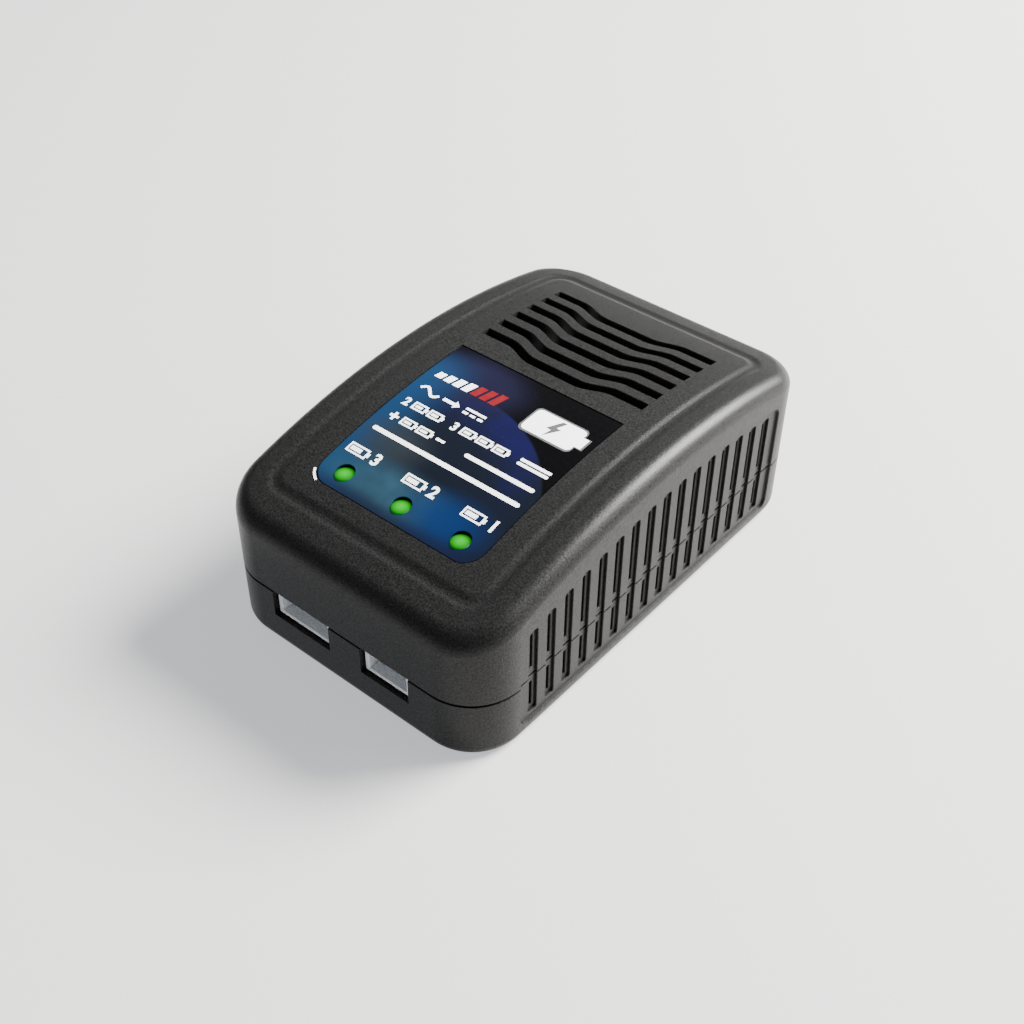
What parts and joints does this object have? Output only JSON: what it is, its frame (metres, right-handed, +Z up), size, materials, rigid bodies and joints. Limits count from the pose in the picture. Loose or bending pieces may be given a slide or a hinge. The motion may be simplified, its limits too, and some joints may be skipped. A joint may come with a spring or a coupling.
{
  "type": "balance battery charger",
  "caption": "Small mains balance charger for model battery packs: arched vented two-part case, face label, charge lights, balance ports at the front and a mains inlet at the rear.",
  "frame": {"origin": "centre of the flat base, on the surface that the charger stands on", "axes": "+Z up; +Y along the length, from the front wall with the balance ports to the rear wall with the mains inlet; +X to the right seen from the front"},
  "size_m": [0.058, 0.091, 0.0344],
  "materials": {
    "case_plastic": "fine spark-eroded grain, matt",
    "label_film": "printed film, satin gloss",
    "green_lens": "tinted lens, lit",
    "white_nylon": "natural nylon, satin",
    "inlet_plastic": "smooth, satin",
    "zinc_steel": "zinc plated",
    "tinned_contact": "tin plated",
    "board_laminate": "solder mask",
    "ferrite": "ground ferrite",
    "coil_tape": "polyester tape",
    "black_epoxy": "moulded epoxy",
    "capacitor_sleeve": "shrink sleeve",
    "film_box": "moulded box",
    "fuse_case": "moulded case",
    "thermistor_coat": "dipped coat",
    "disc_coat": "dipped coat",
    "bare_aluminium": "rolled sheet"
  },
  "bodies": {
    "root": {"balance_port_2s": "white_nylon", "balance_port_2s_contact_1": "tinned_contact", "balance_port_2s_contact_2": "tinned_contact", "balance_port_2s_contact_3": "tinned_contact", "balance_port_3s": "white_nylon", "balance_port_3s_contact_1": "tinned_contact", "balance_port_3s_contact_2": "tinned_contact", "balance_port_3s_contact_3": "tinned_contact", "balance_port_3s_contact_4": "tinned_contact", "balance_resistor_1": "black_epoxy", "balance_resistor_2": "black_epoxy", "balance_resistor_3": "black_epoxy", "balance_transistor_1": "black_epoxy", "balance_transistor_2": "black_epoxy", "balance_transistor_3": "black_epoxy", "board_screw_1": "zinc_steel", "board_screw_2": "zinc_steel", "bottom_cover": "case_plastic", "bridge_rectifier": "black_epoxy", "bulk_capacitor": "capacitor_sleeve", "case_screw_1": "zinc_steel", "case_screw_2": "zinc_steel", "case_screw_3": "zinc_steel", "case_screw_4": "zinc_steel", "charge_controller": "black_epoxy", "face_label": "label_film", "filter_capacitor": "film_box", "filter_choke_coil": "coil_tape", "filter_choke_core": "ferrite", "heatsink": "bare_aluminium", "inrush_thermistor": "thermistor_coat", "led_1": "green_lens", "led_1_lead_1": "tinned_contact", "led_1_lead_2": "tinned_contact", "led_2": "green_lens", "led_2_lead_1": "tinned_contact", "led_2_lead_2": "tinned_contact", "led_3": "green_lens", "led_3_lead_1": "tinned_contact", "led_3_lead_2": "tinned_contact", "main_board": "board_laminate", "mains_fuse": "fuse_case", "mains_inlet": "inlet_plastic", "mains_pin_left": "tinned_contact", "mains_pin_right": "tinned_contact", "optocoupler": "black_epoxy", "output_capacitor_1": "capacitor_sleeve", "output_capacitor_2": "capacitor_sleeve", "output_diode": "black_epoxy", "safety_capacitor": "disc_coat", "switching_transistor": "black_epoxy", "top_cover": "case_plastic", "transformer_coil": "coil_tape", "transformer_core": "ferrite"}
  },
  "joints": []
}
